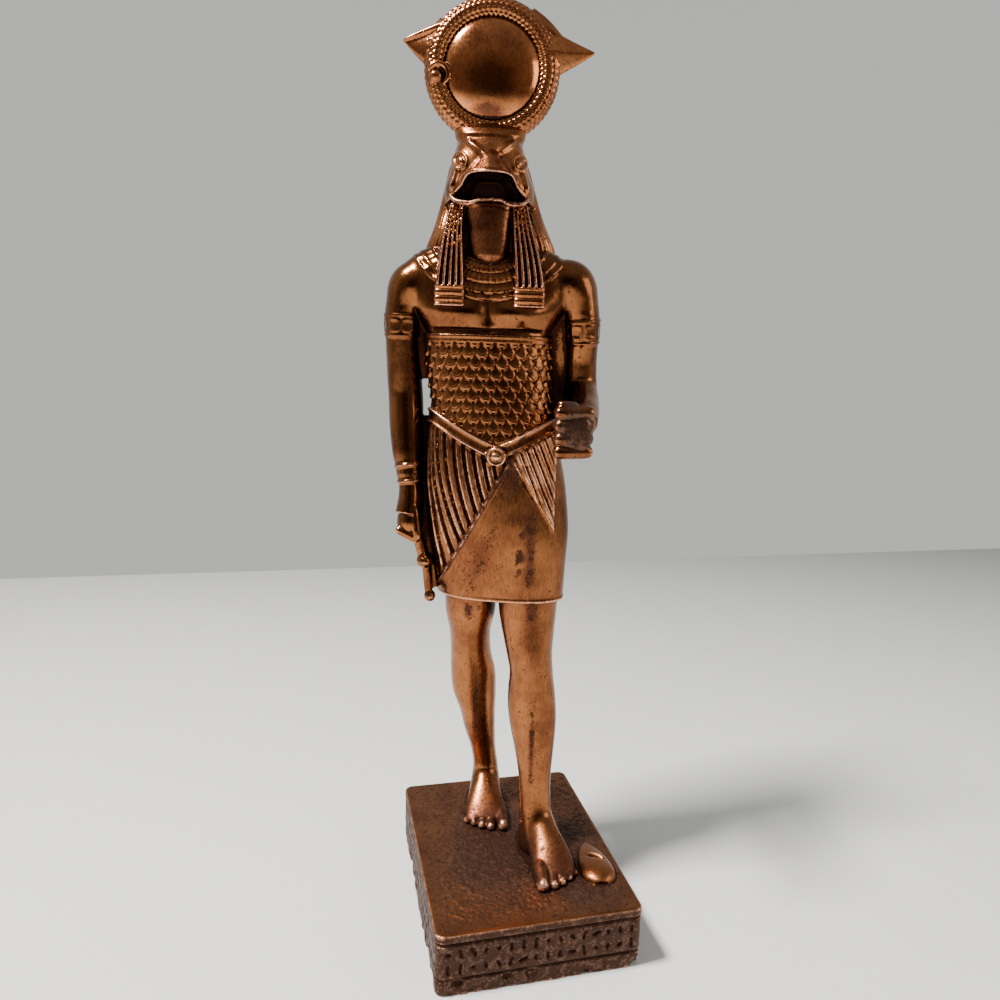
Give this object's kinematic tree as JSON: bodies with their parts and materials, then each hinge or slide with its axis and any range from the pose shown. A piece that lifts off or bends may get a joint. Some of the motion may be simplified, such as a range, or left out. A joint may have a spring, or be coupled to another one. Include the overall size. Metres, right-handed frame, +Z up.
{
  "type": "falcon-headed god statuette",
  "caption": "Copper-finished statuette of a falcon-headed figure striding on an oblong plinth, sun disc in a serpent ring on its head, one fist held forward.",
  "frame": {"origin": "centre of the plinth's underside", "axes": "+Z up, the plinth's front faces -Y, +X to the viewer's right of that front"},
  "size_m": [0.0581, 0.0624, 0.2246],
  "materials": {
    "copper": "glossy electroplated copper, dark brown patina in the hollows, worn bright on the high places"
  },
  "bodies": {
    "root": {"ra_statuette": "copper"}
  },
  "joints": []
}
